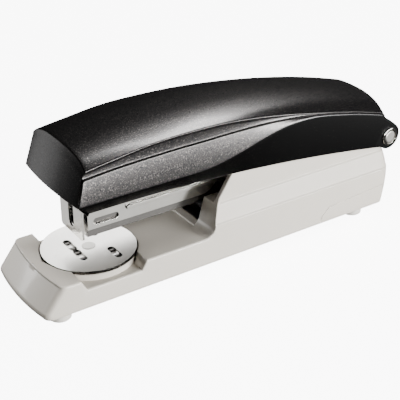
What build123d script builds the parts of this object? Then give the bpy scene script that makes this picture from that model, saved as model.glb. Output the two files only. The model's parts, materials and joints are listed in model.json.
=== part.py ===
from build123d import *
import math
import os

os.makedirs("parts", exist_ok=True)

# A desk stapler. Millimetres, +X from the nose to the hinge, +Z up.
# The origin is on the table, under the middle of the overall length and width.

# Overall
LENGTH = 155.5
HALF_LENGTH = LENGTH / 2
EAR_RADIUS = 5.25
PIVOT_X = HALF_LENGTH - EAR_RADIUS
PIVOT_Z = 30.2
# Cuts run this far, well past the part
BEYOND = 100.0
GAP = 0.3
RUNNING = 0.05

# Base shell
BASE_HALF_WIDTH = 18.8
BASE_BOTTOM = 2.5
BASE_WALL = 1.8
NOSE_TOP_X = -70.4
NOSE_TOP_Z = 13.6
NOSE_BULGE_Z = 4.2
NOSE_CHIN_X = -76.6
NOSE_BOW_RADIUS = 88.0
FLOOR_Z = 13.2
FLOOR_THICKNESS = 2.0
FRONT_ROOM_X = -66.0
UNDER_TERRACE = 1.4
RECESS_Z = 9.8
RECESS_FRONT_X = -62.2
RECESS_REAR_X = -37.3
RECESS_SLANT = 2.1
BODY_FRONT_X = -9.3
BODY_SWEEP_RADIUS = 4.5
TERRACE_LOW_Z = 17.6
TERRACE_HIGH_Z = 24.3
UPPER_HALF_WIDTH = 16.2
UPPER_WALL = 1.7
UPPER_INNER = UPPER_HALF_WIDTH - UPPER_WALL
UPPER_TOP_Z = 34.8
UPPER_FRONT_X = -7.4
UPPER_TOP_FRONT_X = -0.6
UPPER_TOP_REAR_X = 60.0
BASE_REAR_X = 75.1
BASE_REAR_LOW_X = 72.6
BASE_REAR_HIGH_X = 72.4
BASE_REAR_MID_Z = 14.0
REAR_CORNER_RADIUS = 6.0
FRONT_WALL_TOP_Z = 24.0
FRONT_WALL_TOP_X = -2.0
SLOT_HALF_WIDTH = 8.6
SLOT_FRONT_X = -8.6
SLOT_BOTTOM_Z = 6.0
RIB_HALF_WIDTH = 9.0
RIB_LENGTH = 3.2
RIB_HEIGHT = 0.6

# Rear lower cap, bottom plate, chassis and feet
CAP_FRONT_X = 39.4
CAP_TOP_FRONT_Z = 8.6
CAP_TOP_REAR_Z = 10.8
CAP_CORNER = 3.4
CAP_FLOOR = 1.5
PLATE_THICKNESS = 1.2
PLATE_FRONT_X = -66.0
PLATE_HALF_WIDTH = BASE_HALF_WIDTH - BASE_WALL
CHASSIS_Z = 5.0
CHASSIS_THICKNESS = 1.2
CHASSIS_FRONT_X = -64.0
CHASSIS_EAR_OUTER = 14.2
CHASSIS_EAR_FRONT_X = 52.0
CHASSIS_EAR_LOW_Z = 14.0
CHASSIS_REAR_X = 69.6
EYE_RADIUS = 4.6
FOOT_RADIUS = 3.9
FOOT_Y = 14.4
FOOT_XS = {"front": -68.7, "rear": 58.7}
SCREW_SPOTS = ((-28.0, 11.0), (-16.0, 11.0))
SCREW_RADIUS = 1.4
SCREW_HEAD_RADIUS = 2.5
BOSS_RADIUS = 2.9
SCREW_HEAD_HEIGHT = 0.5
SCREW_SINK = 0.1
FOOT_EDGE = 0.4

# Anvil
ANVIL_X = -49.55
ANVIL_RADIUS = 16.65
ANVIL_THICKNESS = 1.2
ANVIL_TOP_Z = 13.6
ANVIL_GAP = 0.45
SEAT_OUTER = 16.2
SEAT_INNER = 11.5
SEAT_TOP_Z = 12.2
STUD_RADIUS = 2.0
STUD_HEAD_RADIUS = 2.35
STUD_HEAD_HEIGHT = 0.15
BUTTON_RADIUS = 4.6
BUTTON_FLANGE_RADIUS = 5.6
BUTTON_BOTTOM_Z = 1.2
BUTTON_TOP_Z = 4.6
CLINCH_X = -5.2
CLINCH_Y = 3.9
PINNING_X = 5.4
PINNING_Y = 8.6
POCKET_LENGTH = 6.6
POCKET_WIDTH = 2.6
POCKET_DEPTH = 0.5
ANVIL_EDGE = 0.2
SEAT_EDGE = 0.5
STUD_COLLAR = 1.0
BUTTON_CUP = 1.4
BUTTON_EDGE = 0.6
ANVIL_COIL_GAP = 1.1

# Magazine
RAIL_FRONT_X = -53.15
CHANNEL_BOTTOM_Z = 21.6
CHANNEL_REAR_X = 50.0
CHANNEL_INNER = 6.5
CHANNEL_OUTER = 7.0
CHANNEL_TOP_Z = 29.5
HOUSING_OUTER = 7.7
HOUSING_BOTTOM_Z = 24.4
HOUSING_TOP_Z = 33.0
HOUSING_STEP_X = -6.5
HOUSING_STEP_Z = 28.0
WINDOW_X = -46.2
WINDOW_Z = 27.1
WINDOW_LENGTH = 9.6
WINDOW_HEIGHT = 2.3
STEP_RUN = (2.6, 4.8)
STEP_RISE = 1.3
FLANGE_FRONT_X = -38.5
FLANGE_REAR_X = 44.0
FLANGE_OUTER = 8.5
FLANGE_LOW_Z = 28.4
FLANGE_HIGH_Z = 29.6
NOSE_PLATE_X = -55.3
NOSE_PLATE_THICKNESS = 0.65
NOSE_PLATE_BOTTOM_Z = 20.9
NOSE_PLATE_TOP_Z = 34.0
NOSE_PLATE_HALF = 7.8
NOSE_SLOT_HALF = 1.75
NOSE_SLOT_BOTTOM_Z = 23.4
NOSE_TAB_LOW_Z = 31.6
NOSE_TAB_REAR_X = -46.0
NOSE_TAB_THICKNESS = 0.6
NOSE_CORNER = 1.2
NOSE_RIVET_BACK = 2.0
NOSE_RIVET_RADIUS = 0.6
NOSE_RIVET_HEIGHT = 0.3
CHANNEL_FLOOR = 0.6
CORE_HALF = 5.6
CORE_TOP_Z = 27.6
CORE_WALL = 0.8
CORE_SLOT_HALF = 0.9
STAPLE_HALF = 6.35
STAPLE_WIRE = 0.55
STAPLE_LEG_Z = 22.3
STAPLE_PITCH = 0.53
STAPLE_COUNT = 100
STRIP_END_X = RAIL_FRONT_X + STAPLE_PITCH * STAPLE_COUNT
BRACKET_HALF = 8.1
BRACKET_TIP_X = -6.0
BRACKET_TIP_Z = 16.9
BRACKET_WEDGE_FRONT = 3.8
BRACKET_WEDGE_REAR = 4.2
BRACKET_FRONT_X = -1.6
BRACKET_REAR_X = 12.0
BRACKET_TOP_Z = 27.8
BRACKET_FLOOR = 1.2
ROD_STOP = 2.0

# Pusher
PUSHER_LENGTH = 13.0
PUSHER_TOP_Z = 31.0
PUSHER_FIN_HALF = 0.6
PUSHER_FIN_START = 2.0
PUSHER_FIN_END = 8.0
PUSHER_GUIDE = 1.0
PUSHER_PLAY = 0.2
PUSHER_LEG_LIFT = 1.2
ROD_RADIUS = 0.9
ROD_Z = 25.0
ROD_FRONT_X = -50.0
PUSHER_SPRING_RADIUS = 1.5
PUSHER_WIRE = 0.35
PUSHER_PITCH = 1.6

# Handle
COVER_FRONT_X = -63.1
COVER_FRONT_Z = 40.6
COVER_LEAN = 0.3
COVER_BOW_RADIUS = 150.0
COVER_BOW = 1.2
CROWN_X = -14.0
CROWN_Z = 59.1
CROWN_FALL_FRONT = 0.00145
CROWN_FALL_REAR = 0.00182
LEDGE_BELOW_CROWN = 6.7
SWEEP_START_X = -17.0
SWEEP_END_X = 39.0
SKIRT_FRONT_Z = 36.7
SKIRT_FALL_START_X = -50.0
SKIRT_FALL = 0.00072
SKIRT_INNER = 16.55
SKIRT_OUTER = 17.6
CHIN_BACK = 3.6
CHIN_DEPTH = 4.0
COVER_REAR_X = 69.5
COVER_REAR_LEAN = 0.25
COVER_REAR_Z = 39.0
COVER_ROOF = 3.4
COVER_FRONT_WALL = 2.2
COVER_REAR_WALL = 1.8
ROOF_CHAMFER = 3.2
ROOF_EDGE_DROP = 0.8
CROWN_EASE = 0.45
SHOULDER_HALF = 14.2
SHOULDER_DROP = 1.9
DOME_HALF = 18.8
DOME_DROP_FRONT = 3.6
DOME_DROP_GROWTH = 2.4
TUCK_HALF = 18.9
TUCK_RISE = 0.4
TUCK_FRONT_DROP = 0.6
WIDEST_HALF = 19.6
COVER_TAPER = 1.9
COVER_TAPER_START = 0.25
WIDEST_TAPER = 1.47
REAR_ARCH_Z = 38.2
REAR_ARCH_FRONT_X = 60.0
EAR_ROOT_X = 56.0
EAR_ROOT_TOP_Z = 42.0
EAR_ROOT_RISE = 4.0
EAR_INSET = 0.08
EAR_TOP = (68.5, 38.6)
EAR_SHOULDER = (75.6, 34.3)
EAR_BACK_X = 77.0
EAR_HEM = (70.0, 25.25)
COVER_BOSS_RADIUS = 3.2
COVER_SCREW_RADIUS = 1.2
COVER_SCREW_HEAD_RADIUS = 2.4
COVER_SCREW_HEAD_HEIGHT = 0.9
COVER_SCREW_BITE = 5.0
COVER_STATIONS = (-70.0, -50.0, -34.0, -17.0, -3.0, 11.0, 25.0, 39.0, 53.0, 66.0, 74.0)
LEVER_OUTER = 12.7
LEVER_WALL = 1.2
LEVER_ROOF_Z = 47.0
LEVER_FRONT_X = -52.3
LEVER_ROOF_REAR_X = 40.0
LEVER_DEEPEN_X = 12.0
LEVER_LOW_REAR_Z = 39.0
DRIVER_X = -54.15
DRIVER_THICKNESS = 0.55
DRIVER_HALF = 6.2
DRIVER_BOTTOM_Z = 28.9
DRIVER_TOP_Z = 46.0
CROSS_PLATE_LOW_Z = 41.5
RIVET_Y = 3.5
RIVET_Z = 44.0
RIVET_RADIUS = 1.0
RIVET_HEAD_RADIUS = 1.7
RIVET_HEAD_HEIGHT = 0.55
COVER_SCREW_XS = (-34.0, 22.0)

# Hinge
PIN_RADIUS = 2.0
PIN_HEAD_RADIUS = 2.4
PIN_HEAD_HEIGHT = 0.55
RING_OUTER = 3.6
RING_INNER = 2.75
RING_HEIGHT = 0.75
RING_WEB = 0.15
BUSH_RADIUS = 2.9
RETURN_BUSH_INNER = 8.0
RETURN_BUSH_OUTER = 11.2
LIFT_BUSH_HALF = 6.6
SPRING_WIRE = 0.5
SPRING_RADIUS = 3.6
COIL_SPACING = 1.5
LIFT_LEG_X = 46.0
RETURN_LEG_HIGH = (44.0, 42.0)
RETURN_LEG_LOW_X = 43.0


def prism_xz(points, y_low, y_high):
    """Side outline carried across the width."""
    wire = Polyline(*[(x, y_low, z) for x, z in points], close=True)
    return extrude(make_face(wire), amount=y_high - y_low, dir=(0, 1, 0))


def prism_xy(points, z_low, z_high):
    """Plan outline carried up."""
    wire = Polyline(*[(x, y, z_low) for x, y in points], close=True)
    return extrude(make_face(wire), amount=z_high - z_low, dir=(0, 0, 1))


def prism_yz(points, x_low, x_high):
    """Cross-section carried along the length."""
    wire = Polyline(*[(x_low, y, z) for y, z in points], close=True)
    return extrude(make_face(wire), amount=x_high - x_low, dir=(1, 0, 0))


def block(x_low, x_high, y_low, y_high, z_low, z_high):
    centre = ((x_low + x_high) / 2, (y_low + y_high) / 2, (z_low + z_high) / 2)
    return Pos(*centre) * Box(x_high - x_low, y_high - y_low, z_high - z_low)


def mid_block(x_low, x_high, half_width, z_low, z_high):
    return block(x_low, x_high, -half_width, half_width, z_low, z_high)


def rod_x(x_low, x_high, y, z, radius):
    return Pos((x_low + x_high) / 2, y, z) * Rot(0, 90, 0) * Cylinder(radius, x_high - x_low)


def rod_y(x, y_low, y_high, z, radius):
    return Pos(x, (y_low + y_high) / 2, z) * Rot(90, 0, 0) * Cylinder(radius, y_high - y_low)


def rod_z(x, y, z_low, z_high, radius):
    return Pos(x, y, (z_low + z_high) / 2) * Cylinder(radius, z_high - z_low)


def pivot_rod(y_low, y_high, radius):
    return rod_y(PIVOT_X, y_low, y_high, PIVOT_Z, radius)


def both_sides(shape):
    return shape + mirror(shape, about=Plane.XZ)


def pivot_plates(outline, inner, outer, eye_radius):
    """A pair of side plates with a round eye bored for the hinge pin."""
    plate = prism_xz(outline, inner, outer) + pivot_rod(inner, outer, eye_radius)
    plate -= pivot_rod(inner - 1, outer + 1, PIN_RADIUS + RUNNING)
    return both_sides(plate)


def smooth_step(x, start, end):
    t = min(max((x - start) / (end - start), 0.0), 1.0)
    return t * t * (3 - 2 * t)


def crown_z(x):
    """Height of the cover's ridge: a flat arch, steeper behind its top."""
    fall = CROWN_FALL_FRONT if x < CROWN_X else CROWN_FALL_REAR
    return CROWN_Z - fall * (x - CROWN_X) ** 2


def break_z(x):
    """Height of the widest line: level in front, sweeping up to a ledge under the dome behind."""
    share = smooth_step(x, SWEEP_START_X, SWEEP_END_X)
    return COVER_FRONT_Z + share * (crown_z(x) - LEDGE_BELOW_CROWN - COVER_FRONT_Z)


def skirt_z(x):
    """Height of the cover's lower edge."""
    return SKIRT_FRONT_Z - SKIRT_FALL * max(x - SKIRT_FALL_START_X, 0.0) ** 2


def nose_cutter():
    """A large round column that leans with the nose and bows its face."""
    run = HALF_LENGTH + NOSE_TOP_X
    rise = NOSE_TOP_Z - NOSE_BULGE_Z
    lean = math.degrees(math.atan2(run, rise))
    column = Cylinder(NOSE_BOW_RADIUS, 4 * BEYOND)
    offset = NOSE_BOW_RADIUS / math.cos(math.radians(lean))
    return Pos(NOSE_TOP_X + offset, 0, NOSE_TOP_Z) * Rot(0, lean, 0) * column


def base_outline():
    """Side view of the base, without the top of its rear walls."""
    return [
        (NOSE_TOP_X - 4, NOSE_TOP_Z),
        (RECESS_FRONT_X, NOSE_TOP_Z),
        (RECESS_FRONT_X + RECESS_SLANT, RECESS_Z),
        (RECESS_REAR_X - RECESS_SLANT, RECESS_Z),
        (RECESS_REAR_X, FLOOR_Z),
        (BODY_FRONT_X, FLOOR_Z),
        (BODY_FRONT_X, TERRACE_LOW_Z),
        (UPPER_FRONT_X, TERRACE_HIGH_Z),
        (UPPER_TOP_FRONT_X, UPPER_TOP_Z),
        (UPPER_TOP_REAR_X, UPPER_TOP_Z),
        (PIVOT_X, PIVOT_Z + EYE_RADIUS),
        (PIVOT_X, TERRACE_HIGH_Z),
        (BASE_REAR_X + 5, TERRACE_HIGH_Z),
        (BASE_REAR_X + 5, BASE_BOTTOM),
        (NOSE_CHIN_X, BASE_BOTTOM),
        (-HALF_LENGTH, NOSE_BULGE_Z),
        (-HALF_LENGTH, NOSE_TOP_Z),
    ]


def base_cross_section():
    right = [
        (BASE_HALF_WIDTH, BASE_BOTTOM),
        (BASE_HALF_WIDTH, TERRACE_LOW_Z),
        (UPPER_HALF_WIDTH, TERRACE_HIGH_Z),
        (UPPER_HALF_WIDTH, UPPER_TOP_Z + EAR_RADIUS),
    ]
    return right + [(-y, z) for y, z in reversed(right)]


def rear_face():
    """Everything in front of the base's bulging rear face."""
    low = (BASE_REAR_LOW_X, 0, BASE_BOTTOM)
    middle = (BASE_REAR_X, 0, BASE_REAR_MID_Z)
    high = (BASE_REAR_HIGH_X, 0, TERRACE_HIGH_Z)
    arc = ThreePointArc(low, middle, high)
    rest = Polyline(high, (BASE_REAR_HIGH_X, 0, BEYOND), (-BEYOND, 0, BEYOND), (-BEYOND, 0, BASE_BOTTOM), low)
    face = make_face(arc + rest)
    return extrude(face, amount=BASE_HALF_WIDTH + 1, dir=(0, 1, 0), both=True)


def base_envelope():
    """The base's outer form, with the rear cap still on it."""
    body = prism_xz(base_outline(), -BASE_HALF_WIDTH, BASE_HALF_WIDTH)
    body &= prism_yz(base_cross_section(), -HALF_LENGTH, PIVOT_X + EAR_RADIUS)
    plan = mid_block(-HALF_LENGTH, BASE_REAR_X, BASE_HALF_WIDTH, 0, UPPER_TOP_Z + EAR_RADIUS)
    corners = plan.edges().filter_by(Axis.Z).group_by(Axis.X)[-1]
    body &= fillet(corners, REAR_CORNER_RADIUS)
    body &= nose_cutter()
    body &= rear_face()
    corner_z = FLOOR_Z + BODY_SWEEP_RADIUS
    corner_x = BODY_FRONT_X - BODY_SWEEP_RADIUS
    gusset = mid_block(corner_x, BODY_FRONT_X, BASE_HALF_WIDTH, FLOOR_Z, corner_z)
    gusset -= rod_y(corner_x, -BASE_HALF_WIDTH, BASE_HALF_WIDTH, corner_z, BODY_SWEEP_RADIUS)
    return body + gusset


def base_cavity():
    """What the base is hollowed by: two shallow rooms in front and the open rear body."""
    inner = BASE_HALF_WIDTH - BASE_WALL
    rear_x = BASE_REAR_LOW_X - BASE_WALL
    web_x = RECESS_REAR_X + 1
    front = mid_block(FRONT_ROOM_X, web_x, inner, 0, RECESS_Z - FLOOR_THICKNESS)
    middle = mid_block(web_x, BODY_FRONT_X + 3, inner, 0, FLOOR_Z - FLOOR_THICKNESS)
    low = mid_block(BODY_FRONT_X + 2, rear_x, inner, 0, TERRACE_LOW_Z - UNDER_TERRACE)
    high = mid_block(FRONT_WALL_TOP_X, rear_x, UPPER_INNER, 0, BEYOND)
    above_wall = mid_block(BODY_FRONT_X - 4, BEYOND, UPPER_INNER, FRONT_WALL_TOP_Z, BEYOND)
    throat_x = BODY_FRONT_X - BODY_SWEEP_RADIUS - 1
    throat = mid_block(throat_x, rear_x, SLOT_HALF_WIDTH, FLOOR_Z, BEYOND)
    slot = mid_block(SLOT_FRONT_X, rear_x, SLOT_HALF_WIDTH, SLOT_BOTTOM_Z, BEYOND)
    return front + middle + low + high + above_wall + throat + slot


def cap_region():
    """The rear lower corner of the base that is a moulding of its own."""
    outline = [
        (CAP_FRONT_X, BASE_BOTTOM - 1),
        (CAP_FRONT_X, CAP_TOP_FRONT_Z - CAP_CORNER),
        (CAP_FRONT_X + CAP_CORNER, CAP_TOP_FRONT_Z),
        (HALF_LENGTH + 1, CAP_TOP_REAR_Z),
        (HALF_LENGTH + 1, BASE_BOTTOM - 1),
    ]
    return prism_xz(outline, -BASE_HALF_WIDTH - 1, BASE_HALF_WIDTH + 1)


def screw_spots():
    """The four screws, two on each side."""
    return [(x, side * y) for x, y in SCREW_SPOTS for side in (-1, 1)]


def base_shell():
    shell = base_envelope() - base_cavity()
    upper_eyes = pivot_rod(UPPER_INNER, UPPER_HALF_WIDTH, EYE_RADIUS)
    shell += both_sides(upper_eyes)
    shell -= cap_region()
    rib_x = SLOT_FRONT_X - RIB_LENGTH
    shell += mid_block(rib_x, SLOT_FRONT_X, RIB_HALF_WIDTH, FLOOR_Z - 0.5, FLOOR_Z + RIB_HEIGHT)
    shell -= rod_z(ANVIL_X, 0, RECESS_Z, BEYOND, ANVIL_RADIUS + ANVIL_GAP)
    boss_low = CHASSIS_Z + CHASSIS_THICKNESS
    boss_high = FLOOR_Z - FLOOR_THICKNESS
    for x, y in screw_spots():
        shell += rod_z(x, y, boss_low, boss_high, BOSS_RADIUS)
        shell -= rod_z(x, y, 0, boss_high, SCREW_RADIUS)
    shell -= rod_z(ANVIL_X, 0, 0, BEYOND, STUD_RADIUS + GAP)
    shell -= pivot_rod(-BEYOND, BEYOND, PIN_RADIUS)
    return shell


def rear_cap():
    inner = BASE_HALF_WIDTH - BASE_WALL
    cap = base_envelope() & cap_region()
    cap -= mid_block(CAP_FRONT_X - 1, BASE_REAR_LOW_X - BASE_WALL, inner, BASE_BOTTOM + CAP_FLOOR, 40)
    return cap


def bottom_plate():
    top = BASE_BOTTOM + PLATE_THICKNESS
    plate = mid_block(PLATE_FRONT_X, CAP_FRONT_X, PLATE_HALF_WIDTH, BASE_BOTTOM, top)
    plate -= rod_z(ANVIL_X, 0, 0, top + 1, BUTTON_RADIUS + GAP)
    for x, y in screw_spots():
        plate -= rod_z(x, y, 0, top + 1, SCREW_RADIUS)
        plate -= rod_z(x, y, 0, BASE_BOTTOM + SCREW_SINK + SCREW_HEAD_HEIGHT, SCREW_HEAD_RADIUS)
    return plate


def chassis():
    top = CHASSIS_Z + CHASSIS_THICKNESS
    tray = mid_block(CHASSIS_FRONT_X, CHASSIS_REAR_X, CHASSIS_EAR_OUTER, CHASSIS_Z, top)
    ear = [
        (CHASSIS_EAR_FRONT_X, CHASSIS_Z),
        (CHASSIS_EAR_FRONT_X, CHASSIS_EAR_LOW_Z),
        (PIVOT_X - EYE_RADIUS, PIVOT_Z + 1),
        (PIVOT_X, PIVOT_Z + EYE_RADIUS),
        (PIVOT_X, PIVOT_Z - EYE_RADIUS),
        (CHASSIS_REAR_X, FRONT_WALL_TOP_Z + 2 * GAP),
        (CHASSIS_REAR_X, CHASSIS_Z),
    ]
    plates = prism_xz(ear, CHASSIS_EAR_OUTER - CHASSIS_THICKNESS, CHASSIS_EAR_OUTER)
    plates += pivot_rod(CHASSIS_EAR_OUTER - CHASSIS_THICKNESS, CHASSIS_EAR_OUTER, EYE_RADIUS)
    tray += both_sides(plates)
    tray -= pivot_rod(-BEYOND, BEYOND, PIN_RADIUS)
    tray -= rod_z(ANVIL_X, 0, 0, top + 1, BUTTON_FLANGE_RADIUS + GAP)
    for x, y in screw_spots():
        tray -= rod_z(x, y, 0, top + 1, SCREW_RADIUS)
    return tray


def base_screws():
    low = BASE_BOTTOM + SCREW_SINK
    high = FLOOR_Z - FLOOR_THICKNESS
    screws = []
    for x, y in screw_spots():
        shank = rod_z(x, y, low, high, SCREW_RADIUS)
        screws.append(shank + rod_z(x, y, low, low + SCREW_HEAD_HEIGHT, SCREW_HEAD_RADIUS - SCREW_SINK))
    return Compound(screws)


def foot(x, y):
    pad = rod_z(x, y, 0, BASE_BOTTOM, FOOT_RADIUS)
    return chamfer(pad.edges().group_by(Axis.Z)[0], FOOT_EDGE)


def pin_ring():
    """Rolled ring under the pin's left end: a bright rim round a sunken web."""
    outer = SKIRT_OUTER + RING_HEIGHT
    rim = pivot_rod(SKIRT_OUTER, outer, RING_OUTER)
    rim = fillet(rim.edges().group_by(Axis.Y)[-1], RING_HEIGHT * 0.45)
    rim -= pivot_rod(SKIRT_OUTER + RING_WEB, outer + 1, RING_INNER)
    return rim - pivot_rod(0, outer + 1, PIN_RADIUS)


def hinge_pin():
    low = SKIRT_OUTER + RING_WEB
    pin = pivot_rod(-low, low, PIN_RADIUS)
    head = pivot_rod(low, low + PIN_HEAD_HEIGHT, PIN_HEAD_RADIUS)
    head = fillet(head.edges().group_by(Axis.Y)[-1], PIN_HEAD_HEIGHT * 0.8)
    return pin + both_sides(head)


def coil_spring(turns, pitch, radius, wire):
    """A round-wire coil along +Z from the origin, with its ends left open."""
    path = Helix(pitch=pitch, height=turns * pitch, radius=radius)
    section = Plane(origin=path @ 0, z_dir=path % 0) * Circle(wire / 2)
    return sweep(section, path=path)


def lift_spring():
    """Torsion coil on the middle of the pin, one leg on the chassis, one under the channel."""
    turns = 5
    pitch = SPRING_WIRE * COIL_SPACING
    coil = coil_spring(turns, pitch, SPRING_RADIUS, SPRING_WIRE)
    coil = Pos(PIVOT_X, turns * pitch / 2, PIVOT_Z) * Rot(90, 0, 0) * coil
    y = turns * pitch / 2
    low_leg = leg(y, PIVOT_Z - SPRING_RADIUS, (LIFT_LEG_X, CHASSIS_Z + CHASSIS_THICKNESS + SPRING_WIRE))
    high_end = (CHANNEL_REAR_X - 3 * SPRING_WIRE, CHANNEL_BOTTOM_Z - 1.4 * SPRING_WIRE)
    high_leg = leg(-y, PIVOT_Z - SPRING_RADIUS, high_end)
    return Compound([coil, low_leg, high_leg])


def leg(y, start_z, end):
    """Straight end of a torsion spring."""
    start = Vector(PIVOT_X, y, start_z)
    way = Vector(end[0], y, end[1]) - start
    plane = Plane(origin=start, z_dir=way)
    return extrude(plane * Circle(SPRING_WIRE / 2), amount=way.length)


def return_spring():
    """A torsion coil each side of the magazine, legs under the lever and on the housing flange."""
    turns = 3
    pitch = SPRING_WIRE * COIL_SPACING
    inner_y = RETURN_BUSH_INNER + GAP + 0.1
    coil = coil_spring(turns, pitch, SPRING_RADIUS, SPRING_WIRE)
    coil = Pos(PIVOT_X, inner_y + turns * pitch, PIVOT_Z) * Rot(90, 0, 0) * coil
    high_leg = leg(inner_y + turns * pitch, PIVOT_Z + SPRING_RADIUS, RETURN_LEG_HIGH)
    low_leg = leg(inner_y, PIVOT_Z - SPRING_RADIUS, (RETURN_LEG_LOW_X, FLANGE_HIGH_Z + SPRING_WIRE))
    side = [coil, high_leg, low_leg]
    return Compound(side + [mirror(piece, about=Plane.XZ) for piece in side])


def spring_bush(y_low, y_high):
    tube = pivot_rod(y_low, y_high, BUSH_RADIUS)
    return tube - pivot_rod(y_low - 1, y_high + 1, PIN_RADIUS + RUNNING)


def anvil_seat():
    ring = rod_z(ANVIL_X, 0, RECESS_Z, SEAT_TOP_Z, SEAT_OUTER)
    ring = chamfer(ring.edges().group_by(Axis.Z)[-1], SEAT_EDGE)
    return ring - rod_z(ANVIL_X, 0, 0, BEYOND, SEAT_INNER)


def pocket(x, y):
    """Rounded hollow that turns a staple's leg."""
    shape = SlotOverall(POCKET_LENGTH, POCKET_WIDTH, rotation=90)
    face = Pos(ANVIL_X + x, y, ANVIL_TOP_Z - POCKET_DEPTH) * shape
    return extrude(face, amount=POCKET_DEPTH + 1)


def anvil_disc():
    disc = rod_z(ANVIL_X, 0, ANVIL_TOP_Z - ANVIL_THICKNESS, ANVIL_TOP_Z, ANVIL_RADIUS)
    disc = chamfer(disc.edges().group_by(Axis.Z)[-1], ANVIL_EDGE)
    for side in (-1, 1):
        disc -= pocket(CLINCH_X, side * CLINCH_Y)
        disc -= pocket(PINNING_X, side * PINNING_Y)
    return disc - rod_z(ANVIL_X, 0, 0, BEYOND, STUD_RADIUS + RUNNING)


def anvil_stud():
    low = BUTTON_BOTTOM_Z + BUTTON_CUP
    stud = rod_z(ANVIL_X, 0, low, ANVIL_TOP_Z, STUD_RADIUS)
    head = rod_z(ANVIL_X, 0, ANVIL_TOP_Z, ANVIL_TOP_Z + STUD_HEAD_HEIGHT, STUD_HEAD_RADIUS)
    shoulder_top = ANVIL_TOP_Z - ANVIL_THICKNESS
    collar_radius = STUD_HEAD_RADIUS + STUD_COLLAR
    return stud + head + rod_z(ANVIL_X, 0, shoulder_top - STUD_COLLAR, shoulder_top, collar_radius)


def anvil_button():
    button = rod_z(ANVIL_X, 0, BUTTON_BOTTOM_Z, BUTTON_TOP_Z, BUTTON_RADIUS)
    button = fillet(button.edges().group_by(Axis.Z)[0], BUTTON_EDGE)
    flange_low = BASE_BOTTOM + PLATE_THICKNESS
    button += rod_z(ANVIL_X, 0, flange_low, BUTTON_TOP_Z, BUTTON_FLANGE_RADIUS)
    return button - rod_z(ANVIL_X, 0, BUTTON_BOTTOM_Z + BUTTON_CUP, BEYOND, STUD_RADIUS)


def anvil_spring():
    turns = 3
    room = RECESS_Z - FLOOR_THICKNESS - BUTTON_TOP_Z
    pitch = (room - SPRING_WIRE) / turns
    coil = coil_spring(turns, pitch, STUD_RADIUS + ANVIL_COIL_GAP, SPRING_WIRE)
    return Pos(ANVIL_X, 0, BUTTON_TOP_Z + SPRING_WIRE / 2) * coil


def staple_channel():
    low = CHANNEL_BOTTOM_Z
    outer = mid_block(RAIL_FRONT_X, CHANNEL_REAR_X, CHANNEL_OUTER, low, CHANNEL_TOP_Z)
    return outer - mid_block(-BEYOND, BEYOND, CHANNEL_INNER, low + CHANNEL_FLOOR, BEYOND)


def magazine_housing():
    """The magazine's two side plates, with the window, the lower step and the outward flange."""
    outline = [
        (RAIL_FRONT_X, HOUSING_BOTTOM_Z),
        (HOUSING_STEP_X, HOUSING_BOTTOM_Z),
        (HOUSING_STEP_X + STEP_RUN[0], HOUSING_BOTTOM_Z + STEP_RISE),
        (HOUSING_STEP_X + STEP_RUN[1], HOUSING_STEP_Z),
        (CHANNEL_REAR_X, HOUSING_STEP_Z),
        (PIVOT_X, PIVOT_Z - EYE_RADIUS),
        (PIVOT_X, PIVOT_Z + EYE_RADIUS),
        (CHANNEL_REAR_X, HOUSING_TOP_Z),
        (RAIL_FRONT_X, HOUSING_TOP_Z),
    ]
    plates = pivot_plates(outline, CHANNEL_OUTER, HOUSING_OUTER, EYE_RADIUS)
    window = SlotOverall(WINDOW_LENGTH, WINDOW_HEIGHT)
    window = extrude(Plane.XZ * Pos(WINDOW_X, WINDOW_Z, 0) * window, amount=BEYOND, both=True)
    low, high = FLANGE_LOW_Z, FLANGE_HIGH_Z
    flange = block(FLANGE_FRONT_X, FLANGE_REAR_X, HOUSING_OUTER, FLANGE_OUTER, low, high)
    return plates - window + both_sides(flange)


def nose_plate():
    rear_x = NOSE_PLATE_X + NOSE_PLATE_THICKNESS
    low, high = NOSE_PLATE_BOTTOM_Z, NOSE_PLATE_TOP_Z
    plate = mid_block(NOSE_PLATE_X, rear_x, NOSE_PLATE_HALF, low, high)
    plate = fillet(plate.edges().filter_by(Axis.X).group_by(Axis.Z)[0], NOSE_CORNER)
    slot = mid_block(NOSE_PLATE_X - 1, rear_x + 1, NOSE_SLOT_HALF, NOSE_SLOT_BOTTOM_Z, BEYOND)
    plate -= fillet(slot.edges().filter_by(Axis.X).group_by(Axis.Z)[0], NOSE_SLOT_HALF * 0.95)
    tab_outer = HOUSING_OUTER + NOSE_TAB_THICKNESS
    tab = block(NOSE_PLATE_X, NOSE_TAB_REAR_X, HOUSING_OUTER, tab_outer, NOSE_TAB_LOW_Z, high)
    return plate + both_sides(tab)


def nose_rivets():
    x = NOSE_TAB_REAR_X - NOSE_RIVET_BACK
    z = (NOSE_TAB_LOW_Z + HOUSING_TOP_Z) / 2
    outer = HOUSING_OUTER + NOSE_TAB_THICKNESS
    head = rod_y(x, outer, outer + NOSE_RIVET_HEIGHT, z, NOSE_RIVET_RADIUS)
    return Compound([head, mirror(head, about=Plane.XZ)])


def staple_core():
    """Inverted channel that the staples straddle, slotted along its top for the pusher's fin."""
    low = CHANNEL_BOTTOM_Z + CHANNEL_FLOOR
    core = mid_block(RAIL_FRONT_X, CHANNEL_REAR_X, CORE_HALF, low, CORE_TOP_Z)
    core -= mid_block(-BEYOND, BEYOND, CORE_HALF - CORE_WALL, low - 1, CORE_TOP_Z - CORE_WALL)
    slot_front = STRIP_END_X - ROD_STOP
    slot_rear = CHANNEL_REAR_X - 1.5 * ROD_STOP
    core -= mid_block(slot_front, slot_rear, CORE_SLOT_HALF, CORE_TOP_Z - 2 * CORE_WALL, BEYOND)
    return core


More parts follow.
